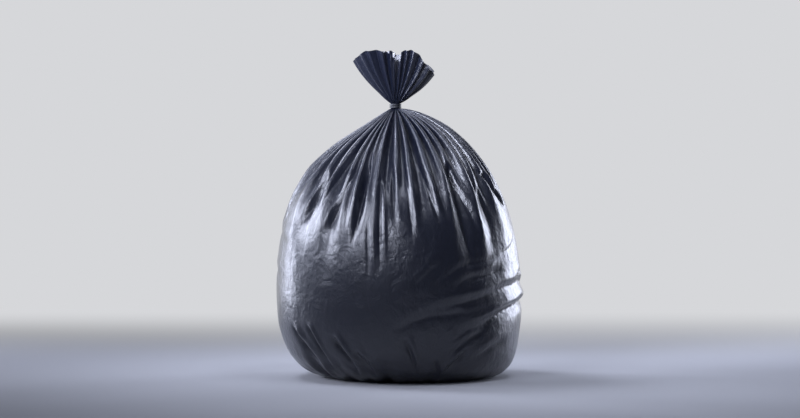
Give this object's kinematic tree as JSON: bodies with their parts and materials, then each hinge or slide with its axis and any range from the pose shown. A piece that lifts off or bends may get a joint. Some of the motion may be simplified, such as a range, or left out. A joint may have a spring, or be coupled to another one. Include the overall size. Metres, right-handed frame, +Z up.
{
  "type": "full bin bag",
  "caption": "Full refuse bag standing on its base, its film gathered into pleats and tied at the neck with a doubled elastic band, with a flared open mouth above.",
  "frame": {"origin": "on the floor, in the middle of the flat patch of the base, under the axis of the tied neck", "axes": "+Z up through the tied neck; -Y is the front that the picture shows; +X is to the right as seen from the front"},
  "size_m": [0.4711, 0.4521, 0.6268],
  "materials": {
    "film": "black polyethylene film, semi-gloss, creased",
    "band": "black rubber, satin"
  },
  "bodies": {
    "root": {"bag": "film", "neck_tie": "band"}
  },
  "joints": []
}
